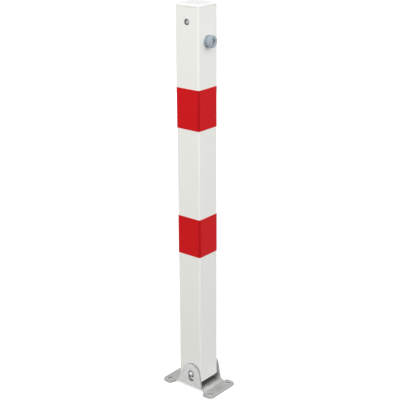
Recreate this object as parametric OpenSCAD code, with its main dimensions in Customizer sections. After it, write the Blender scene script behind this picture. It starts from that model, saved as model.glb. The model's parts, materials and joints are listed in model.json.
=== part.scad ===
// Fold-down bollard: a square steel post hinged on a pressed base, held upright by a key-operated bolt.
// Origin: middle of the base on the ground, +Z up. The lock faces -Y, and the post folds down that way.
// The post is drawn upright and lifted in the slots of the base, ready to fold. Lengths are millimetres.

/* [Post] */
// Height from the ground to the top of the cap
post_height = 1000; // [800:10:1200]
// Outside width of the square tube
tube_width = 70; // [64:1:70]
// Wall thickness of the tube
tube_wall = 2.5; // [2:0.5:3]
// Outside corner radius of the tube
tube_corner = 4; // [3.5:0.5:6]
// How far the post drops in its slots when it is let down upright
lift_travel = 14; // [10:1:14]

/* [Reflective bands] */
// Height of each band
band_height = 100; // [60:5:110]
// Bottom edge of the lower band
lower_band_z = 375; // [300:5:420]
// Bottom edge of the upper band
upper_band_z = 700; // [560:5:700]
// Thickness of the film
film = 0.4; // [0.2:0.1:0.6]

/* [Base] */
// Length of the base along the folding direction
base_length = 166; // [160:2:190]
// Width across the bolt-down lugs
base_width = 105; // [100:1:120]
// Thickness of the pressed sheet
sheet = 5; // [4:0.5:5]
// Height of the raised platform
platform_height = 12; // [12:1:14]
// Distance between the bolt holes across the base
bolt_pitch_x = 75; // [70:1:80]
// Distance between the bolt holes along the base
bolt_pitch_y = 136; // [132:1:140]
// Diameter of the bolt holes
bolt_hole = 11; // [9:0.5:13]
// Radius of the outer corners of the lugs
lug_corner = 12; // [6:1:14]

/* [Hinge] */
// Height of the hinge axis with the post lifted
pivot_z = 46; // [46:1:50]
// How far the hinge axis lies forward of the middle of the post
pivot_forward = 8; // [6:1:9]
// Diameter of the hinge pin
pin_d = 12; // [10:1:12]
// Radius of the rounded top of each ear
ear_radius = 27; // [24:1:30]
// Gap between the tube and each ear
ear_gap = 1.5; // [1.5:0.1:2.5]
// Width of the slot that each bush slides in
slot_width = 17; // [15:0.5:18]

/* [Lock] */
// Depth of the lock's centre line below the top of the cap
lock_depth = 87; // [80:1:110]
// Diameter of the lock housing
housing_d = 30.5; // [28:0.5:34]
// How far the lock housing stands out from the tube
housing_reach = 17; // [12:1:18]
// Distance from the lock's centre line to the drive stud
cam_radius = 16; // [14:0.5:16]
// Diameter of the locking bolt
lock_bolt_d = 14; // [12:0.5:14]

/* [Cap] */
// Thickness of the cap above the tube
cap_flange = 5; // [3:0.5:6]
// Height of the shadow gap between the tube and the cap's rim
cap_seam = 1.2; // [0.5:0.1:2]
// Depth of the skirt inside the tube
skirt_depth = 50; // [46:1:60]
// Depth of the cap screw's centre line below the top of the cap
cap_screw_depth = 41.5; // [38:0.5:42]
// Diameter of the hole for the cap screw's head
cap_screw_hole = 15; // [13:0.5:16]

/* [Hidden] */

$fn = 64;
eps = 0.5;
running_gap = 0.05;

half_tube = tube_width / 2;
tube_inside = tube_width - 2 * tube_wall;
tube_foot = platform_height + lift_travel;
tube_top = post_height - cap_flange - cap_seam;

ear_inner = half_tube + ear_gap;
ear_outer = ear_inner + sheet;
bend_inner = 2;
bend_outer = bend_inner + sheet;
bend_x = ear_inner - bend_inner;
bend_z = platform_height + bend_inner;
ear_front = -41.5;
ear_back = 39;
pivot_y = -pivot_forward;

neck_x = ear_outer - 2;
neck_fillet = 5;
lug_inner_y = 53;
lug_inner_corner = 6;
shoulder_y = 43.5;
bend_relief = 1.6;
lock_bolt_hole = lock_bolt_d + 2;
arc_steps = 10;

bush_d = slot_width - 2 * running_gap;
bush_flange_d = 24;
bush_flange = 1;
bush_proud = 0.3;
bush_x = half_tube + (ear_gap - bush_flange) / 2;
pin_overhang = 1;
sleeve_d = 20;

lock_z = post_height - lock_depth;
gasket = 0.6;
barrel_d = 18;
plug_d = 12;
eye_depth = 4;
barrel_front = -half_tube - housing_reach + eye_depth;
barrel_back = -1;
washer_thickness = 1.2;
plug_proud = 0.4;
tail_side = 7;
cam_front = 3;
cam_plate = 4;
cam_back = cam_front + cam_plate;
cam_screw_d = 4;
cam_screw_tap = 3;
unlocked_angle = 45;
stud_d = 6;
stud_x = cam_radius * cos(unlocked_angle);
stud_z = lock_z + cam_radius * sin(unlocked_angle);

bar_thickness = 5;
bar_width = lock_bolt_d;
bar_front = cam_back + 0.5;
bar_back = bar_front + bar_thickness;
bolt_x = (stud_x + cam_radius) / 2;
bolt_y = (bar_front + bar_back) / 2;
lock_bolt_length = 103;
bolt_foot = tube_foot + 1;
bolt_top = bolt_foot + lock_bolt_length;
fork_depth = 25;
fork_z = bolt_top - fork_depth;
fork_pin_z = bolt_top - fork_depth / 2;
fork_pin_d = 4;
head_height = 16;
head_slot = stud_d + 1.2;
head_rim = 3.2;

guide_fit = 0.2;
guide_width = tube_inside - 2 * guide_fit;
guide_wall = 3;
guide_height = 20;
guide_lower_z = 62;
guide_upper_z = lock_z - 110;

cap_screw_z = post_height - cap_screw_depth;
cap_screw_d = 6;
skirt_width = tube_inside - 0.6;
skirt_wall = 2.5;
skirt_corner = 2;
seam_depth = 2.2;
seam_corner = 3;
recess_d = cap_screw_hole - 0.6;
recess_x = skirt_width / 2 - 1.8;
seal_thickness = 1;

// Points along an arc round a centre, from one angle to another
function arc(centre, radius, from, to, steps = arc_steps) =
    [for (i = [0:steps])
        centre + radius * [cos(from + (to - from) * i / steps), sin(from + (to - from) * i / steps)]];

// The same points on the other side of the second axis, in reverse order
function mirrored(points) = [for (i = [len(points) - 1:-1:0]) [-points[i][0], points[i][1]]];

// Angle at which a line from a point outside a circle touches it, on the side given by +1 or -1
function touch_angle(point, centre, radius, side) =
    let (away = point - centre)
    atan2(away[1], away[0]) + side * acos(radius / norm(away));

// A square with rounded corners, centred on the origin
module rounded_square(width, radius) {
    square([width, width - 2 * radius], center = true);
    square([width - 2 * radius, width], center = true);
    for (x = [-1, 1], y = [-1, 1])
        translate([x * (width / 2 - radius), y * (width / 2 - radius)])
            circle(radius);
}

// A bar whose length runs along X, starting at the origin
module along_x(length, diameter) {
    rotate([0, 90, 0]) cylinder(h = length, d = diameter);
}

// A bar whose length runs along Y, starting at the origin
module along_y(length, diameter) {
    rotate([-90, 0, 0]) cylinder(h = length, d = diameter);
}

// Section of the pressed sheet along the base: two flat lugs, two S-bends and the platform between them
module base_section() {
    run = lug_inner_y - shoulder_y;
    drop = platform_height - sheet;
    turn = 2 * atan(drop / run);
    middle = run / 2 / sin(turn);
    inside = middle - sheet / 2;
    outside = middle + sheet / 2;
    upper = [shoulder_y, platform_height - outside];
    lower = [lug_inner_y, outside];
    top_side = concat(
        arc(upper, outside, 90, 90 - turn),
        arc(lower, inside, 270 - turn, 270),
        [[base_length / 2, sheet]]);
    under_side = concat(
        [[base_length / 2, 0]],
        arc(lower, outside, 270, 270 - turn),
        arc(upper, inside, 90 - turn, 90));
    polygon(concat(top_side, under_side, mirrored(under_side), mirrored(top_side)));
}

// Outline of the base seen from above: wide lugs at the ends and a narrow neck beside each S-bend
module base_outline() {
    lug_x = base_width / 2;
    end_y = base_length / 2;
    quarter = concat(
        arc([neck_x + neck_fillet, lug_inner_y - neck_fillet], neck_fillet, 180, 90),
        arc([lug_x - lug_inner_corner, lug_inner_y + lug_inner_corner], lug_inner_corner, -90, 0),
        arc([lug_x - lug_corner, end_y - lug_corner], lug_corner, 0, 90));
    half = concat(quarter, mirrored(quarter));
    polygon(concat(half, [for (p = half) -p]));
}

// Outline of an ear seen from the side, as (y, z)
module ear_outline() {
    centre = [pivot_y, pivot_z];
    foot_back = [ear_back, bend_z];
    foot_front = [ear_front, bend_z];
    polygon(concat(
        [foot_front, foot_back],
        arc(centre, ear_radius, touch_angle(foot_back, centre, ear_radius, 1),
            360 + touch_angle(foot_front, centre, ear_radius, -1), 3 * arc_steps)));
}

// Slot for the sliding bush, as (y, z)
module slot_outline() {
    for (z = [pivot_z - lift_travel, pivot_z])
        translate([pivot_y, z]) circle(d = slot_width);
    translate([pivot_y - slot_width / 2, pivot_z - lift_travel])
        square([slot_width, lift_travel]);
}

// Section of the bend between the platform and the ear on the +X side, as (x, z)
module ear_bend() {
    polygon(concat(
        arc([bend_x, bend_z], bend_outer, -90, 0),
        arc([bend_x, bend_z], bend_inner, 0, -90)));
}

// An ear on the +X side with its slot and its bend
module ear() {
    translate([ear_inner, 0, 0])
        rotate([90, 0, 90])
            linear_extrude(sheet)
                difference() {
                    ear_outline();
                    slot_outline();
                }
    translate([0, ear_back, 0])
        rotate([90, 0, 0])
            linear_extrude(ear_back - ear_front)
                ear_bend();
}

module base_plate() {
    cut = base_width / 2;
    middle_y = (ear_back + ear_front) / 2;
    color("lightgray")
        difference() {
            union() {
                difference() {
                    intersection() {
                        translate([-base_width / 2, 0, 0])
                            rotate([90, 0, 90])
                                linear_extrude(base_width) base_section();
                        linear_extrude(platform_height) base_outline();
                    }
                    for (side = [-1, 1])
                        translate([side * (bend_x + cut / 2), middle_y, platform_height / 2])
                            cube([cut, ear_back - ear_front + 2 * bend_relief, platform_height + 2 * eps],
                                center = true);
                }
                ear();
                mirror([1, 0, 0]) ear();
            }
            for (x = [-1, 1], y = [-1, 1])
                translate([x * bolt_pitch_x / 2, y * bolt_pitch_y / 2, -eps])
                    cylinder(h = sheet + 2 * eps, d = bolt_hole);
            translate([bolt_x, bolt_y, 0])
                cylinder(h = platform_height + eps, d = lock_bolt_hole);
        }
}

// A nylon bush on the +X side: it slides in the ear's slot and carries the hinge pin
module slider_bush() {
    length = ear_outer + bush_proud - bush_x;
    color("#1c1d1f")
        translate([bush_x, pivot_y, pivot_z])
            difference() {
                union() {
                    along_x(length, bush_d);
                    along_x(bush_flange, bush_flange_d);
                }
                translate([-eps, 0, 0]) along_x(length + 2 * eps, pin_d + 2 * running_gap);
            }
}

module slider_bush_right() {
    slider_bush();
}

module slider_bush_left() {
    mirror([1, 0, 0]) slider_bush();
}

module post_tube() {
    color("white")
        difference() {
            translate([0, 0, tube_foot])
                linear_extrude(tube_top - tube_foot)
                    difference() {
                        rounded_square(tube_width, tube_corner);
                        rounded_square(tube_inside, tube_corner - tube_wall);
                    }
            translate([-half_tube - eps, pivot_y, pivot_z])
                along_x(tube_width + 2 * eps, pin_d);
            translate([0, -half_tube - eps, lock_z])
                along_y(tube_wall + 2 * eps, barrel_d);
            translate([-half_tube - eps, 0, cap_screw_z])
                along_x(tube_wall + 2 * eps, cap_screw_hole);
        }
}

module pivot_pin() {
    reach = ear_outer + pin_overhang;
    chamfer = 1;
    color("silver")
        translate([0, pivot_y, pivot_z])
            rotate([0, 90, 0])
                rotate_extrude()
                    polygon([[0, -reach], [pin_d / 2 - chamfer, -reach], [pin_d / 2, chamfer - reach],
                        [pin_d / 2, reach - chamfer], [pin_d / 2 - chamfer, reach], [0, reach]]);
}

module pivot_sleeve() {
    color("silver")
        translate([-tube_inside / 2, pivot_y, pivot_z])
            difference() {
                along_x(tube_inside, sleeve_d);
                translate([-eps, 0, 0]) along_x(tube_inside + 2 * eps, pin_d);
            }
}

// One corner of the cap's flange: a disc whose top edge is rounded
module cap_corner() {
    edge = min(cap_flange - 2, tube_corner - 0.5);
    rotate_extrude($fn = 48)
        polygon(concat(
            [[0, 0], [tube_corner, 0]],
            arc([tube_corner - edge, cap_flange - edge], edge, 0, 90, 6),
            [[0, cap_flange]]));
}

module top_cap() {
    corner = half_tube - tube_corner;
    rim_z = tube_top + cap_seam;
    skirt_bottom = tube_top - skirt_depth;
    inner_width = skirt_width - 2 * skirt_wall;
    boss_width = 18;
    boss_depth = 12;
    rib = 2;
    rib_height = 20;
    color("white") {
        translate([0, 0, rim_z])
            hull()
                for (x = [-1, 1], y = [-1, 1])
                    translate([x * corner, y * corner, 0]) cap_corner();
        difference() {
            union() {
                translate([0, 0, skirt_bottom])
                    linear_extrude(skirt_depth + cap_seam)
                        difference() {
                            rounded_square(skirt_width, skirt_corner);
                            square(inner_width, center = true);
                        }
                translate([0, 0, tube_top])
                    linear_extrude(cap_seam) rounded_square(tube_width - 2 * seam_depth, seam_corner);
                for (side = [-1, 1])
                    translate([side * inner_width / 6, 0, tube_top - rib_height / 2])
                        cube([rib, inner_width + 2 * eps, rib_height], center = true);
                translate([-inner_width / 2 - eps, -boss_width / 2, cap_screw_z - boss_width / 2])
                    cube([boss_depth, boss_width, boss_width]);
            }
            translate([-skirt_width / 2 - eps, 0, cap_screw_z]) {
                along_x(skirt_width / 2 - recess_x + eps, recess_d);
                along_x(boss_depth + skirt_wall + 2 * eps, cap_screw_d);
            }
        }
    }
}

// Button-head security screw in the bottom of its seal, with a pin standing in the hexagon socket
module cap_screw() {
    head = 2.6;
    head_d = 10.5;
    crown = 1.4;
    socket = 5;
    socket_depth = 2;
    socket_pin = 1.8;
    shank = 12;
    color("gray")
        translate([-recess_x - seal_thickness, 0, cap_screw_z])
            rotate([0, -90, 0]) {
                difference() {
                    rotate_extrude()
                        polygon([[0, 0], [head_d / 2, 0], [head_d / 2, head - crown],
                            [head_d / 2 - crown, head], [0, head]]);
                    translate([0, 0, head - socket_depth]) cylinder(h = head, d = socket, $fn = 6);
                }
                cylinder(h = head, d = socket_pin);
                translate([0, 0, -shank]) cylinder(h = shank + eps, d = cap_screw_d);
            }
}

// Rubber cup under the screw's head: its wall lines the hole in the tube
module cap_screw_seal() {
    lip = 1;
    reach = half_tube - 0.6 - recess_x;
    d = recess_d - 2 * running_gap;
    color("#62625f")
        translate([-recess_x, 0, cap_screw_z])
            rotate([0, -90, 0])
                difference() {
                    cylinder(h = reach, d = d);
                    translate([0, 0, seal_thickness]) cylinder(h = reach, d = d - 2 * lip);
                    translate([0, 0, -eps]) cylinder(h = reach, d = cap_screw_d);
                }
}

// A closed loop of film round the tube, with its bottom edge at z
module band(z) {
    color("#c81c21")
        translate([0, 0, z])
            linear_extrude(band_height)
                difference() {
                    rounded_square(tube_width + 2 * film, tube_corner + film);
                    rounded_square(tube_width, tube_corner);
                }
}

module band_upper() {
    band(upper_band_z);
}

module band_lower() {
    band(lower_band_z);
}

// Places a form made by turning about +Z so that it grows outwards from the lock's face of the tube
module on_lock_face() {
    translate([0, -half_tube, lock_z]) rotate([90, 0, 0]) children();
}

module lock_housing() {
    r = housing_d / 2;
    nose_r = r - 0.4;
    rim = 3;
    eye = plug_d / 2 + 0.5;
    eye_chamfer = 1.2;
    edge = 0.9;
    collar_foot = gasket + 1.6;
    collar_end = 5.6;
    groove = 1.4;
    nose_foot = collar_end + groove;
    color("#76848d")
        on_lock_face()
            rotate_extrude()
                polygon(concat(
                    [[barrel_d / 2, gasket], [r - edge, gasket]],
                    arc([r - edge, collar_foot], edge, -45, 0, 3),
                    arc([r - edge, collar_end - edge], edge, 0, 90, 3),
                    [[r - groove, collar_end], [r - groove, nose_foot]],
                    arc([nose_r - edge, nose_foot + edge], edge, -90, 0, 3),
                    arc([nose_r - rim, housing_reach - rim], rim, 0, 90, 8),
                    [[eye + eye_chamfer, housing_reach], [eye, housing_reach - eye_chamfer],
                        [eye, housing_reach - eye_depth], [barrel_d / 2, housing_reach - eye_depth]]));
}

module lock_gasket() {
    color("#202225")
        on_lock_face()
            difference() {
                cylinder(h = gasket, d = housing_d - 5);
                translate([0, 0, -eps]) cylinder(h = gasket + 2 * eps, d = barrel_d);
            }
}

module lock_barrel() {
    color("#c9b98f")
        translate([0, barrel_front, lock_z])
            difference() {
                along_y(barrel_back - barrel_front, barrel_d);
                translate([0, -eps, 0])
                    along_y(barrel_back - barrel_front + 2 * eps, plug_d + 2 * running_gap);
            }
}

module lock_washer() {
    washer_d = 28;
    color("silver")
        translate([0, -half_tube + tube_wall, lock_z])
            difference() {
                along_y(washer_thickness, washer_d);
                translate([0, -eps, 0]) along_y(washer_thickness + 2 * eps, barrel_d);
            }
}

// Thin hexagon nut whose corners are turned off on both faces
module barrel_nut() {
    across_corners = 28;
    across_flats = across_corners * cos(30);
    thickness = 5;
    chamfer = (across_corners - across_flats) / 2;
    color("silver")
        translate([0, -half_tube + tube_wall + washer_thickness, lock_z])
            rotate([-90, 0, 0])
                difference() {
                    intersection() {
                        cylinder(h = thickness, d = across_corners, $fn = 6);
                        rotate_extrude()
                            polygon([[0, 0], [across_flats / 2, 0], [across_corners / 2, chamfer / 2],
                                [across_corners / 2, thickness - chamfer / 2],
                                [across_flats / 2, thickness], [0, thickness]]);
                    }
                    translate([0, 0, -eps]) cylinder(h = thickness + 2 * eps, d = barrel_d);
                }
}

module key_plug() {
    keyway = [1.8, 20, 8];
    tail_gap = 0.2;
    color("silver")
        translate([0, 0, lock_z])
            difference() {
                union() {
                    translate([0, barrel_front - plug_proud, 0])
                        along_y(barrel_back - barrel_front + plug_proud, plug_d);
                    translate([-tail_side / 2, barrel_back - eps, -tail_side / 2])
                        cube([tail_side, cam_back - barrel_back + eps - tail_gap, tail_side]);
                }
                translate([-keyway[0] / 2, barrel_front - plug_proud - eps, -keyway[2] / 2]) cube(keyway);
                translate([0, barrel_back + cam_screw_tap, 0])
                    along_y(cam_back - barrel_back, cam_screw_d);
            }
}

// Plate on the plug's square tail, drawn with the lock open
module lock_cam() {
    hub = 8;
    end = 5.5;
    lean = asin((hub - end) / cam_radius);
    color("silver")
        translate([0, cam_back, lock_z])
            rotate([90, 0, 0])
                linear_extrude(cam_plate)
                    difference() {
                        rotate(unlocked_angle)
                            polygon(concat(
                                arc([0, 0], hub, 90 - lean, 270 + lean, 2 * arc_steps),
                                arc([cam_radius, 0], end, lean - 90, 90 - lean, 2 * arc_steps)));
                        square(tail_side, center = true);
                        translate([stud_x, stud_z - lock_z]) circle(d = stud_d);
                    }
}

module cam_stud() {
    stud_proud = 1;
    color("silver")
        translate([stud_x, cam_front, stud_z])
            along_y(bar_back + stud_proud - cam_front, stud_d);
}

module cam_screw() {
    head = 2.6;
    head_d = 8.6;
    socket = 3.5;
    socket_depth = 1.2;
    shank_gap = 1;
    color("silver")
        translate([0, cam_back, lock_z])
            rotate([-90, 0, 0]) {
                difference() {
                    cylinder(h = head, d = head_d);
                    translate([0, 0, head - socket_depth]) cylinder(h = head, d = socket, $fn = 6);
                }
                translate([0, 0, barrel_back + cam_screw_tap + shank_gap - cam_back])
                    cylinder(h = cam_back - barrel_back - cam_screw_tap - shank_gap, d = cam_screw_d);
            }
}

// A moulded tray that fits the inside of the tube, with a boss left solid for what runs through it
module guide_body(z) {
    boss = 11;
    translate([0, 0, z]) {
        difference() {
            linear_extrude(guide_height) rounded_square(guide_width, tube_corner - tube_wall);
            translate([0, 0, guide_wall])
                linear_extrude(guide_height)
                    difference() {
                        square(guide_width - 2 * guide_wall, center = true);
                        translate([bolt_x, bolt_y]) circle(boss);
                        translate([bolt_x, 0]) square([guide_wall, guide_width], center = true);
                        translate([0, bolt_y]) square([guide_width, guide_wall], center = true);
                    }
        }
    }
}

module guide_upper() {
    color("#2b2d30")
        difference() {
            guide_body(guide_upper_z);
            translate([bolt_x, bolt_y, guide_upper_z + guide_height / 2])
                cube([bar_width + 4 * running_gap, bar_thickness + 4 * running_gap, guide_height + 2 * eps],
                    center = true);
        }
}

module guide_lower() {
    color("#2b2d30")
        difference() {
            guide_body(guide_lower_z);
            translate([bolt_x, bolt_y, guide_lower_z - eps])
                cylinder(h = guide_height + 2 * eps, d = lock_bolt_d + 2 * running_gap);
        }
}

// Flat bar from the bolt's fork up to a head whose level slot takes the drive stud
module lock_rod() {
    slot_end_gap = 0.4;
    slot_from = stud_x - stud_d / 2 - slot_end_gap;
    slot_to = cam_radius + stud_d / 2 + slot_end_gap;
    head_from = slot_from - head_rim;
    head_to = slot_to + head_rim;
    color("silver")
        translate([0, bar_back, 0])
            rotate([90, 0, 0])
                linear_extrude(bar_thickness)
                    difference() {
                        union() {
                            translate([bolt_x - bar_width / 2, fork_z])
                                square([bar_width, stud_z - fork_z]);
                            translate([head_from, stud_z - head_height / 2])
                                square([head_to - head_from, head_height]);
                        }
                        translate([slot_from, stud_z - head_slot / 2])
                            square([slot_to - slot_from, head_slot]);
                        translate([bolt_x, fork_pin_z]) circle(d = fork_pin_d);
                    }
}

module lock_bolt() {
    tip = 1.5;
    r = lock_bolt_d / 2;
    color("silver")
        translate([bolt_x, bolt_y, 0])
            difference() {
                rotate_extrude()
                    polygon([[0, bolt_foot], [r - tip, bolt_foot], [r, bolt_foot + tip], [r, bolt_top],
                        [0, bolt_top]]);
                translate([-r - eps, -bar_thickness / 2, fork_z])
                    cube([2 * r + 2 * eps, bar_thickness, bolt_top - fork_z + eps]);
                translate([0, -r - eps, fork_pin_z]) along_y(2 * r + 2 * eps, fork_pin_d);
            }
}

module bolt_pin() {
    sunk = 0.6;
    color("silver")
        translate([bolt_x, bolt_y - lock_bolt_d / 2 + sunk, fork_pin_z])
            along_y(lock_bolt_d - 2 * sunk, fork_pin_d);
}

base_plate();
slider_bush_left();
slider_bush_right();
post_tube();
pivot_pin();
pivot_sleeve();
top_cap();
cap_screw();
cap_screw_seal();
band_upper();
band_lower();
lock_housing();
lock_gasket();
lock_barrel();
lock_washer();
barrel_nut();
key_plug();
lock_cam();
cam_stud();
cam_screw();
guide_upper();
guide_lower();
lock_rod();
lock_bolt();
bolt_pin();
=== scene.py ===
"""Fold-down bollard: finishes, softened edges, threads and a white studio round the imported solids."""

import json
import math

import bmesh
import bpy
from mathutils import Matrix, Vector


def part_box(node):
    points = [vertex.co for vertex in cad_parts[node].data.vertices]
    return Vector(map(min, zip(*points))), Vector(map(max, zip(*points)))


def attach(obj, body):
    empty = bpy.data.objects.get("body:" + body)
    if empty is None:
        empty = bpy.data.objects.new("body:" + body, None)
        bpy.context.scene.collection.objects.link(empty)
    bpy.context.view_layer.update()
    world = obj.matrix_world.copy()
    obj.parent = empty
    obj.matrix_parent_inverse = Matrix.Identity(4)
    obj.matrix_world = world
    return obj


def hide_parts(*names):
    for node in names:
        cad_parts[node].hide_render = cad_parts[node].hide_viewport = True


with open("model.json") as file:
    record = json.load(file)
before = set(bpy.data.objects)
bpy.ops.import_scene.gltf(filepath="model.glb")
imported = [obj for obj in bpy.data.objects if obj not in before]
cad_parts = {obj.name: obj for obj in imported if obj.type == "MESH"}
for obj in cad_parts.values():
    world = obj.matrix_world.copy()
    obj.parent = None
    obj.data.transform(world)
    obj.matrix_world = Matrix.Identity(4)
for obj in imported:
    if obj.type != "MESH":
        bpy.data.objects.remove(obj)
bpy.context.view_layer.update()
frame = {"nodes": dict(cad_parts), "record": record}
NODES = frame["nodes"]

MM = 0.001
WHITE = (1.0, 1.0, 1.0)

# Camera, worked out from the post's edges and the bands in the photograph
CAMERA_AZIMUTH = -50.684
CAMERA_ELEVATION = 19.625
CAMERA_ROLL = -0.358
CAMERA_PLACE = (-1.88085, -1.54841, 1.38003)
CAMERA_LENS = 93.759
CAMERA_SENSOR = 36.0

# Studio: the floor is white paper to the camera, and a dark tone to the light that it throws back
FLOOR_REACH = 14.0
BOUNCE_TONE = (0.09, 0.09, 0.085)
PAPER_TONE = (0.72, 0.72, 0.72)
PAPER_GLOW = 0.57
HORIZON_LIGHT = 0.59
ZENITH_LIGHT = 0.73

# Edge radii left by pressing, moulding and turning
SHEET_EDGE = 0.5 * MM
MACHINED_EDGE = 0.25 * MM
MOULDED_EDGE = 0.4 * MM
EDGE_SEGMENTS = 3
SHARP_ANGLE = math.radians(28)
FLAT_ANGLE = math.radians(0.6)
MERGE_DISTANCE = 0.002 * MM

# Screw threads: the crest lies on the solid's surface, and the depth is a share of the pitch
THREAD_STEPS = 28
THREAD_CORNERS = 4
THREAD_DEPTH = 0.38
BARREL_PITCH = 1.5 * MM
CAP_SCREW_SHANK = 12.0 * MM
CAP_SCREW_RADIUS = 3.0 * MM
CAP_SCREW_PITCH = 1.0 * MM

# Where the finish and its painted shade change on the base, from its middle outwards or from the ground up
EAR_FOOT = (14.5 * MM, 16.0 * MM)
LUG_START = (45.0 * MM, 47.0 * MM)
SHADE_ACROSS = (33.0 * MM, 37.5 * MM)
SHADE_ALONG = (31.0 * MM, 39.0 * MM)
EAR_SHADE_ALONG = (27.0 * MM, 38.0 * MM)
FACING_INWARDS = (-6.0 * MM, -2.0 * MM)

# Where the film starts to bend round a corner of the tube and is painted darker as shade, and the pitch of
# its prisms
FILM_CORNER_SHADE = (31.2 * MM, 32.8 * MM)
PRISM_PITCH = 2.6 * MM

# Zinc crystals in a metre
CRYSTALS = 95.0


class Value:
    """A socket that takes part in sums."""

    def __init__(self, wiring, source):
        self.wiring = wiring
        self.source = source

    def _math(self, operation, *inputs):
        return self.wiring.node("ShaderNodeMath", {"operation": operation}, dict(enumerate(inputs)))

    def __add__(self, other):
        return self._math("ADD", self, other)

    def __radd__(self, other):
        return self._math("ADD", other, self)

    def __sub__(self, other):
        return self._math("SUBTRACT", self, other)

    def __rsub__(self, other):
        return self._math("SUBTRACT", other, self)

    def __mul__(self, other):
        return self._math("MULTIPLY", self, other)

    def __rmul__(self, other):
        return self._math("MULTIPLY", other, self)

    def __truediv__(self, other):
        return self._math("DIVIDE", self, other)

    def __rtruediv__(self, other):
        return self._math("DIVIDE", other, self)

    def __abs__(self):
        return self._math("ABSOLUTE", self)

    def either(self, other):
        """The larger of two values."""
        return self._math("MAXIMUM", self, other)

    def clamp(self):
        """The value, kept between 0 and 1."""
        return self.wiring.node("ShaderNodeClamp", {}, {"Value": self})

    def rise(self, low, high, start=0.0, end=1.0):
        """Smooth change from start to end as the value goes from low to high."""
        return self.wiring.node(
            "ShaderNodeMapRange", {"interpolation_type": "SMOOTHSTEP"},
            {"Value": self, "From Min": low, "From Max": high, "To Min": start, "To Max": end},
        )

    def fade(self, low, high):
        """Smooth change from 1 to 0 as the value goes from low to high."""
        return self.rise(low, high, 1.0, 0.0)


class Wiring:
    """A node tree whose nodes are made one call at a time."""

    def __init__(self, tree):
        self.nodes = tree.nodes
        self.links = tree.links
        self.nodes.clear()

    def node(self, kind, settings, inputs, output=0):
        """Makes a node, sets it, feeds its sockets, and returns one output or a list of named ones."""
        made = self.nodes.new(kind)
        for key, value in settings.items():
            if key == "stops":
                self._ramp(made.color_ramp, value)
            else:
                setattr(made, key, value)
        for key, value in inputs.items():
            self._feed(made.inputs[key], value)
        if isinstance(output, tuple):
            return [Value(self, made.outputs[name]) for name in output]
        return Value(self, made.outputs[output]) if made.outputs else None

    def _ramp(self, ramp, stops):
        while len(ramp.elements) < len(stops):
            ramp.elements.new(0.5)
        for element, (place, colour) in zip(ramp.elements, stops):
            element.position = place
            element.color = (*colour, 1.0)

    def _feed(self, socket, value):
        if isinstance(value, list):
            for part in value:
                self.links.new(part.source, socket)
        elif isinstance(value, Value):
            self.links.new(value.source, socket)
        elif socket.type == "RGBA":
            socket.default_value = (*value, 1.0)
        else:
            socket.default_value = value

    def split(self, vector):
        """The three parts of a vector."""
        return self.node("ShaderNodeSeparateXYZ", {}, {"Vector": vector}, ("X", "Y", "Z"))

    def seen_by(self, first, second):
        """1 where a ray of one of two kinds looks, and 0 elsewhere."""
        one, other = self.node("ShaderNodeLightPath", {}, {}, (f"Is {first} Ray", f"Is {second} Ray"))
        return one.either(other)


class Finish(Wiring):
    """A material whose patterns lie in the object's own coordinates."""

    def __init__(self, name):
        self.material = bpy.data.materials.new(name)
        self.material.use_nodes = True
        super().__init__(self.material.node_tree)

    def place(self, scale=(1.0, 1.0, 1.0)):
        """Object coordinates, scaled along each axis."""
        where = self.node("ShaderNodeTexCoord", {}, {}, "Object")
        return self.node("ShaderNodeMapping", {}, {"Vector": where, "Scale": scale})

    def noise(self, vector, scale, detail=4.0, roughness=0.5, distortion=0.0):
        """Cloudy noise between 0 and 1."""
        return self.node("ShaderNodeTexNoise", {}, {
            "Vector": vector, "Scale": scale, "Detail": detail, "Roughness": roughness,
            "Distortion": distortion,
        })

    def cells(self, vector, scale):
        """One chance colour for each cell."""
        return self.node("ShaderNodeTexVoronoi", {}, {"Vector": vector, "Scale": scale}, "Color")

    def borders(self, vector, scale, randomness=1.0):
        """The distance from the border between two cells."""
        return self.node(
            "ShaderNodeTexVoronoi", {"feature": "DISTANCE_TO_EDGE"},
            {"Vector": vector, "Scale": scale, "Randomness": randomness}, "Distance",
        )

    def mix(self, factor, first, second):
        """A colour between two colours."""
        return self.node(
            "ShaderNodeMix", {"data_type": "RGBA"}, {"Factor": factor, "A": first, "B": second}, "Result",
        )

    def bump(self, height, strength, distance):
        """A normal that follows a height."""
        return self.node(
            "ShaderNodeBump", {}, {"Height": height, "Strength": strength, "Distance": distance},
        )

    def surface(self, **inputs):
        """Ends the material in a Principled shader."""
        named = {key.replace("_", " "): value for key, value in inputs.items()}
        shader = self.node("ShaderNodeBsdfPrincipled", {}, named)
        self.node("ShaderNodeOutputMaterial", {}, {"Surface": shader})
        return self.material


class Pattern(Wiring):
    """A Geometry Nodes tree with named inputs."""

    def __init__(self, name, inputs):
        self.tree = bpy.data.node_groups.new(name, "GeometryNodeTree")
        super().__init__(self.tree)
        face = self.tree.interface
        face.new_socket("Geometry", in_out="OUTPUT", socket_type="NodeSocketGeometry")
        self.keys = {
            label: face.new_socket(label, in_out="INPUT", socket_type="NodeSocket" + kind).identifier
            for label, kind in inputs.items()
        }
        self.given = dict(zip(inputs, self.node("NodeGroupInput", {}, {}, tuple(inputs))))

    def end(self, geometry, finish):
        """Ends the tree in real geometry with its finish."""
        real = self.node("GeometryNodeRealizeInstances", {}, {"Geometry": geometry})
        dressed = self.node("GeometryNodeSetMaterial", {}, {"Geometry": real, "Material": finish})
        self.node("NodeGroupOutput", {}, {"Geometry": dressed})

    def apply(self, piece, values):
        """Runs the tree on a piece and leaves the result as its plain mesh."""
        run = piece.modifiers.new("pattern", "NODES")
        run.node_group = self.tree
        for label, value in values.items():
            run[self.keys[label]] = value
        settle(piece)


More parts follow.
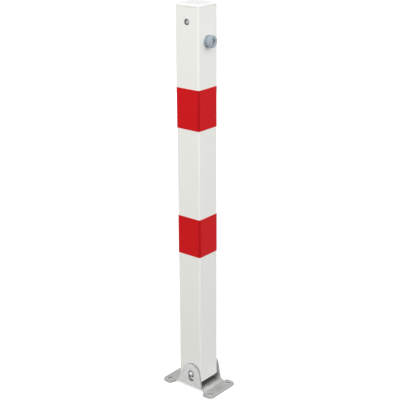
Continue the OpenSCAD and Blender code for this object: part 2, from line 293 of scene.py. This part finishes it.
def galvanised_steel():
    """Hot-dip zinc with crystals, clouds and runs; darker and duller on edge faces, partly bare cut steel
    and partly painted shade in the lug holes; painted shade under the post and on the ears' inner faces.
    """
    f = Finish("galvanised_steel")
    where = f.place()
    grain = f.split(f.cells(where, CRYSTALS))[0]
    border = f.borders(where, CRYSTALS)
    clouds = f.noise(where, 22.0, detail=5.0, roughness=0.6, distortion=0.4)
    speck = f.noise(where, 900.0, detail=3.0, roughness=0.6)
    runs = f.noise(f.place(scale=(1.0, 1.0, 0.25)), 60.0, detail=3.0)
    tone = 0.5 + (grain - 0.5) * 0.34 + (clouds - 0.5) * 0.9 + (speck - 0.5) * 0.25
    dark, middle, light = (0.43, 0.437, 0.428), (0.538, 0.545, 0.532), (0.655, 0.662, 0.645)
    zinc = f.node(
        "ShaderNodeValToRGB", {"stops": [(0.0, dark), (0.5, middle), (1.0, light)]}, {"Fac": tone},
    )
    x, y, z = f.split(where)
    across, _, up = f.split(f.node("ShaderNodeTexCoord", {}, {}, "Normal"))
    on_ear = z.rise(*EAR_FOOT)
    on_lug = abs(y).rise(*LUG_START)
    # The edge faces of the ears and lugs are painted darker: partly the bare steel of a cut edge, partly
    # painted shade, as on the walls of the lug holes
    cut_edge_and_shade = on_ear * abs(across).fade(0.2, 0.6) + on_lug * abs(up).fade(0.12, 0.25)
    # Painted shade: the platform under the post and the inner faces of the ears are darkened towards near
    # black, standing in for the shade in these gaps
    under_post = abs(x).fade(*SHADE_ACROSS) * abs(y).fade(*SHADE_ALONG)
    inner_face = (across * x).fade(*FACING_INWARDS) * abs(y).fade(*EAR_SHADE_ALONG)
    painted_shade = (under_post + on_ear * inner_face).clamp() * clouds.rise(0.1, 0.6, 0.75, 1.0)
    bare_and_shaded = f.mix(cut_edge_and_shade.clamp() * 0.7, zinc, (0.33, 0.335, 0.33))
    # Mixes in the painted shade as a near-black zinc colour; the same mask also makes the zinc rougher there
    colour = f.mix(painted_shade * 0.8, bare_and_shaded, (0.085, 0.088, 0.085))
    roughness = 0.5 + (clouds - 0.5) * 0.3 + (grain - 0.5) * 0.16 + cut_edge_and_shade * 0.12 + painted_shade * 0.25
    height = runs * 0.6 + clouds * 0.5 + border.rise(0.0, 0.08) * 0.12 + speck * 0.06
    return f.surface(
        Base_Color=colour, Metallic=0.6, Roughness=roughness.clamp(),
        Normal=f.bump(height, strength=0.35, distance=1.2 * MM),
    )


def powder_coat():
    """White polyester powder: fine orange peel, a soft gloss and faint handling marks."""
    f = Finish("white_powder_coat")
    where = f.place()
    peel = f.noise(where, 420.0, detail=2.0)
    wide = f.noise(where, 7.0, detail=3.0)
    scuffs = f.noise(f.place(scale=(1.0, 1.0, 0.16)), 130.0, roughness=0.7).rise(0.66, 0.78)
    colour = f.mix(
        (wide * 0.6 + scuffs * 0.12).clamp(), (0.852, 0.848, 0.815), (0.826, 0.825, 0.795),
    )
    return f.surface(
        Base_Color=colour, Roughness=(0.34 + (wide - 0.5) * 0.08 + scuffs * 0.1).clamp(),
        Normal=f.bump(peel, strength=0.12, distance=0.6 * MM), Specular_IOR_Level=0.32,
    )


def cap_plastic():
    """White moulded plastic, a little brighter than the coated tube."""
    f = Finish("white_cap_plastic")
    where = f.place()
    grain = f.noise(where, 1500.0, detail=2.0)
    wide = f.noise(where, 14.0, detail=3.0)
    colour = f.mix(wide, (0.90, 0.90, 0.895), (0.87, 0.872, 0.868))
    return f.surface(
        Base_Color=colour, Roughness=(0.38 + (grain - 0.5) * 0.12).clamp(),
        Normal=f.bump(grain, strength=0.06, distance=0.3 * MM),
    )


def reflective_film():
    """Red sign film: tiny prism cells under a smooth clear face, with painted shade along the corners where
    it bends round.
    """
    f = Finish("red_reflective_film")
    where = f.place()
    x, y, z = f.split(where)
    lattice = f.node("ShaderNodeCombineXYZ", {}, {"X": x + y, "Y": z})
    seam = f.borders(lattice, 1.0 / PRISM_PITCH, randomness=0.0).rise(0.0, 0.07)
    wide = f.noise(where, 9.0, detail=3.0)
    body = f.mix(wide, (0.58, 0.006, 0.009), (0.635, 0.009, 0.012))
    cellular = f.mix(seam * 0.25 + 0.75, (0.50, 0.005, 0.009), body)
    # Painted shade: the film is darkened in a strip along each corner of the tube
    corner_shade = abs(x).rise(*FILM_CORNER_SHADE) * abs(y).rise(*FILM_CORNER_SHADE)
    colour = f.mix(corner_shade * 0.6, cellular, (0.27, 0.003, 0.006))
    return f.surface(
        Base_Color=colour, Roughness=(0.36 + (wide - 0.5) * 0.08).clamp(),
        Normal=f.bump(seam, strength=0.03, distance=0.2 * MM), Specular_IOR_Level=0.08,
    )


def lock_plastic():
    """Blue-grey moulded housing with a fine eroded grain."""
    f = Finish("grey_lock_plastic")
    where = f.place()
    grain = f.noise(where, 2200.0, detail=3.0, roughness=0.6)
    wide = f.noise(where, 60.0, detail=3.0)
    colour = f.mix((wide * 0.8 + grain * 0.2).clamp(), (0.29, 0.35, 0.39), (0.345, 0.41, 0.455))
    return f.surface(
        Base_Color=colour, Roughness=(0.42 + (grain - 0.5) * 0.16).clamp(),
        Normal=f.bump(grain, strength=0.1, distance=0.2 * MM),
    )


def plain_moulding(name, tone, roughness):
    """Nylon or rubber: nearly even, with a faint moulding grain."""
    f = Finish(name)
    where = f.place()
    grain = f.noise(where, 1800.0, detail=3.0, roughness=0.6)
    wide = f.noise(where, 90.0, detail=3.0)
    dark = tuple(part * 0.7 for part in tone)
    return f.surface(
        Base_Color=f.mix(wide, dark, tone), Roughness=(roughness + (grain - 0.5) * 0.15).clamp(),
        Normal=f.bump(grain, strength=0.15, distance=0.2 * MM),
    )


def turned_metal(name, tone, roughness):
    """Plated or bare machined metal with a fine grain and small stains."""
    f = Finish(name)
    where = f.place()
    marks = f.noise(where, 1400.0, detail=2.0)
    stains = f.noise(where, 130.0, roughness=0.6, distortion=0.3)
    dark = tuple(part * 0.78 for part in tone)
    return f.surface(
        Base_Color=f.mix(stains, dark, tone), Metallic=0.95,
        Roughness=(roughness + (stains - 0.5) * 0.22).clamp(),
        Normal=f.bump(marks, strength=0.08, distance=0.2 * MM),
    )


FINISHES = {
    "galvanised_steel": galvanised_steel(),
    "white_powder_coat": powder_coat(),
    "white_cap_plastic": cap_plastic(),
    "red_reflective_film": reflective_film(),
    "grey_lock_plastic": lock_plastic(),
    "black_nylon": plain_moulding("black_nylon", (0.022, 0.023, 0.026), 0.45),
    "black_rubber": plain_moulding("black_rubber", (0.018, 0.018, 0.019), 0.62),
    "grey_rubber": plain_moulding("grey_rubber", (0.13, 0.13, 0.125), 0.6),
    "zinc_plated_steel": turned_metal("zinc_plated_steel", (0.58, 0.59, 0.6), 0.27),
    "lock_brass": turned_metal("lock_brass", (0.66, 0.54, 0.30), 0.3),
}
SLOT_OF = {part["node"]: part["material_slot"] for part in frame["record"]["subparts"]}
BODY_OF = {
    node: body
    for body, nodes in frame["record"]["behaviour"]["bodies"].items()
    for node in nodes
}


def add_object(name, data):
    """Puts a new object into the scene, at the origin."""
    made = bpy.data.objects.new(name, data)
    bpy.context.scene.collection.objects.link(made)
    return made


def dress(piece, node):
    """Gives a piece the finish of the node that it stands for."""
    piece.data.materials.clear()
    piece.data.materials.append(FINISHES[SLOT_OF[node]])


def stand_in(piece, node):
    """Rides a finished piece on the node's body, in the node's place."""
    dress(piece, node)
    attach(piece, BODY_OF[node])
    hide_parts(node)


def settle(piece):
    """Turns a piece's modifiers into a plain mesh."""
    solid = bpy.data.meshes.new_from_object(
        piece.evaluated_get(bpy.context.evaluated_depsgraph_get())
    )
    piece.modifiers.clear()
    piece.data = solid


def softened(node, radius):
    """A copy of a node's solid with its sharp edges rounded, as pressing or machining leaves them."""
    mesh = NODES[node].data.copy()
    mesh.name = node + "_softened"
    piece = add_object(node + "_softened", mesh)
    work = bmesh.new()
    work.from_mesh(mesh)
    bmesh.ops.remove_doubles(work, verts=work.verts, dist=MERGE_DISTANCE)
    bmesh.ops.dissolve_limit(work, angle_limit=FLAT_ANGLE, verts=work.verts, edges=work.edges)
    work.to_mesh(mesh)
    work.free()
    bevel = piece.modifiers.new("edges", "BEVEL")
    bevel.width = radius
    bevel.segments = EDGE_SEGMENTS
    bevel.limit_method = "ANGLE"
    bevel.angle_limit = SHARP_ANGLE
    even = piece.modifiers.new("normals", "WEIGHTED_NORMAL")
    even.keep_sharp = True
    settle(piece)
    for face in piece.data.polygons:
        face.use_smooth = True
    return piece


def make_edges():
    """Softened copies of the pieces whose edges show, here or when the post is taken apart."""
    for radius, nodes in (
        (SHEET_EDGE, ("base_plate",)),
        (MACHINED_EDGE, ("pivot_pin", "key_plug", "barrel_nut", "lock_rod", "lock_bolt", "lock_cam")),
        (MOULDED_EDGE, ("slider_bush_left", "slider_bush_right", "lock_housing")),
    ):
        for node in nodes:
            stand_in(softened(node, radius), node)


def thread_pattern():
    """One ridge along a helix, joined to the core that it stands on."""
    pattern = Pattern("screw_thread", {
        "Core": "Geometry", "Crest Radius": "Float", "Ridge": "Float", "Pitch": "Float",
        "Length": "Float", "Place": "Vector", "Turn": "Vector", "Finish": "Material",
    })
    given = pattern.given
    middle = given["Crest Radius"] - given["Ridge"]
    helix = pattern.node("GeometryNodeCurveSpiral", {}, {
        "Resolution": THREAD_STEPS, "Rotations": given["Length"] / given["Pitch"],
        "Start Radius": middle, "End Radius": middle, "Height": given["Length"],
    })
    level = pattern.node("GeometryNodeSetCurveNormal", {"mode": "Z_UP"}, {"Curve": helix})
    section = pattern.node(
        "GeometryNodeCurvePrimitiveCircle", {"mode": "RADIUS"},
        {"Resolution": THREAD_CORNERS, "Radius": given["Ridge"]},
    )
    ridge = pattern.node("GeometryNodeCurveToMesh", {}, {
        "Curve": level, "Profile Curve": section, "Fill Caps": True,
    })
    placed = pattern.node("GeometryNodeTransform", {}, {
        "Geometry": ridge, "Translation": given["Place"], "Rotation": given["Turn"],
    })
    whole = pattern.node("GeometryNodeJoinGeometry", {}, {"Geometry": [given["Core"], placed]})
    pattern.end(whole, given["Finish"])
    return pattern


def cut_thread(pattern, node, centre, axis, length, crest, pitch):
    """A thread on the round part of a node, with its crest where the solid's surface is."""
    piece = softened(node, MACHINED_EDGE)
    ridge = pitch * THREAD_DEPTH
    centre = Vector(centre)
    axis = Vector(axis)
    for vertex in piece.data.vertices:
        along = (vertex.co - centre).dot(axis)
        out = vertex.co - centre - axis * along
        on_length = -ridge < along < length + ridge
        on_surface = crest - ridge < out.length < crest + ridge
        if on_length and on_surface:
            vertex.co -= out.normalized() * ridge
    pattern.apply(piece, {
        "Crest Radius": crest, "Ridge": ridge, "Pitch": pitch, "Length": length - 2 * ridge,
        "Place": centre + axis * ridge, "Turn": axis.to_track_quat("Z", "X").to_euler(),
        "Finish": FINISHES[SLOT_OF[node]],
    })
    stand_in(piece, node)


def make_threads():
    """The threads of the lock's barrel and of the screw that holds the cap."""
    pattern = thread_pattern()
    low, high = (Vector(corner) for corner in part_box("lock_barrel"))
    cut_thread(
        pattern, "lock_barrel", centre=((low.x + high.x) / 2, low.y, (low.z + high.z) / 2),
        axis=(0, 1, 0), length=high.y - low.y, crest=(high.x - low.x) / 2, pitch=BARREL_PITCH,
    )
    low, high = (Vector(corner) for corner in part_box("cap_screw"))
    cut_thread(
        pattern, "cap_screw", centre=(high.x, (low.y + high.y) / 2, (low.z + high.z) / 2),
        axis=(-1, 0, 0), length=CAP_SCREW_SHANK, crest=CAP_SCREW_RADIUS, pitch=CAP_SCREW_PITCH,
    )


def make_floor():
    """A white floor that keeps a soft shadow."""
    reach = FLOOR_REACH
    mesh = bpy.data.meshes.new("floor")
    mesh.from_pydata(
        [(-reach, -reach, 0), (reach, -reach, 0), (reach, reach, 0), (-reach, reach, 0)],
        [], [(0, 1, 2, 3)],
    )
    floor = add_object("floor", mesh)
    f = Finish("studio_floor")
    bounce = f.node("ShaderNodeBsdfDiffuse", {}, {"Color": BOUNCE_TONE})
    paper = f.node("ShaderNodeBsdfDiffuse", {}, {"Color": PAPER_TONE})
    glow = f.node("ShaderNodeEmission", {}, {"Color": WHITE, "Strength": PAPER_GLOW})
    lit = f.node("ShaderNodeAddShader", {}, {0: paper, 1: glow})
    final = f.node("ShaderNodeMixShader", {}, {0: f.seen_by("Camera", "Glossy"), 1: bounce, 2: lit})
    f.node("ShaderNodeOutputMaterial", {}, {"Surface": final})
    mesh.materials.append(f.material)


def make_world():
    """A world that lights from all round, a little more from above, and looks plain white."""
    world = bpy.data.worlds.new("studio")
    bpy.context.scene.world = world
    world.use_nodes = True
    w = Wiring(world.node_tree)
    height = w.split(w.node("ShaderNodeTexCoord", {}, {}, "Generated"))[2]
    light = w.node(
        "ShaderNodeMapRange", {}, {"Value": height, "To Min": HORIZON_LIGHT, "To Max": ZENITH_LIGHT},
    )
    strength = w.node(
        "ShaderNodeMix", {}, {"Factor": w.seen_by("Camera", "Transmission"), "A": light, "B": 1.0},
    )
    background = w.node("ShaderNodeBackground", {}, {"Color": WHITE, "Strength": strength})
    w.node("ShaderNodeOutputWorld", {}, {"Surface": background})


def add_lamp(name, place, target, size, power, tone=WHITE):
    """A square soft box that faces its target."""
    data = bpy.data.lights.new(name, "AREA")
    data.shape = "SQUARE"
    data.size = size
    data.energy = power
    data.color = tone
    lamp = add_object(name, data)
    lamp.location = place
    lamp.rotation_mode = "QUATERNION"
    lamp.rotation_quaternion = (Vector(place) - Vector(target)).to_track_quat("Z", "Y")
    return lamp


def make_lights():
    """A soft box on each side of the camera, and a weak one behind the post that no gloss mirrors."""
    side = {"target": (0, 0, 1.05), "size": 2.7, "power": 50.5}
    add_lamp("left_box", (-2.45, 0.2, 2.0), tone=(1.0, 0.995, 0.98), **side)
    add_lamp("right_box", (-0.2, -2.45, 2.0), tone=(0.99, 0.995, 1.0), **side)
    fill = add_lamp("back_box", (2.3, 2.1, 0.9), target=(0, 0, 0.6), size=2.0, power=21.0)
    fill.visible_glossy = False


def make_camera():
    """The photograph's camera."""
    data = bpy.data.cameras.new("camera")
    data.sensor_width = CAMERA_SENSOR
    data.lens = CAMERA_LENS
    camera = add_object("camera", data)
    turn = math.radians(CAMERA_AZIMUTH)
    rise = math.radians(CAMERA_ELEVATION)
    roll = math.radians(CAMERA_ROLL)
    back = Vector((
        math.sin(turn) * math.cos(rise), -math.cos(turn) * math.cos(rise), math.sin(rise),
    ))
    level = Vector((0, 0, 1)).cross(back).normalized()
    up = back.cross(level)
    right = math.cos(roll) * level + math.sin(roll) * up
    top = math.cos(roll) * up - math.sin(roll) * level
    turned = Matrix((right, top, back)).transposed().to_4x4()
    camera.matrix_world = Matrix.Translation(CAMERA_PLACE) @ turned
    bpy.context.scene.camera = camera


bpy.context.scene.view_settings.view_transform = "Standard"
for node, solid in NODES.items():
    dress(solid, node)
make_camera()
make_floor()
make_world()
make_lights()
make_edges()
make_threads()
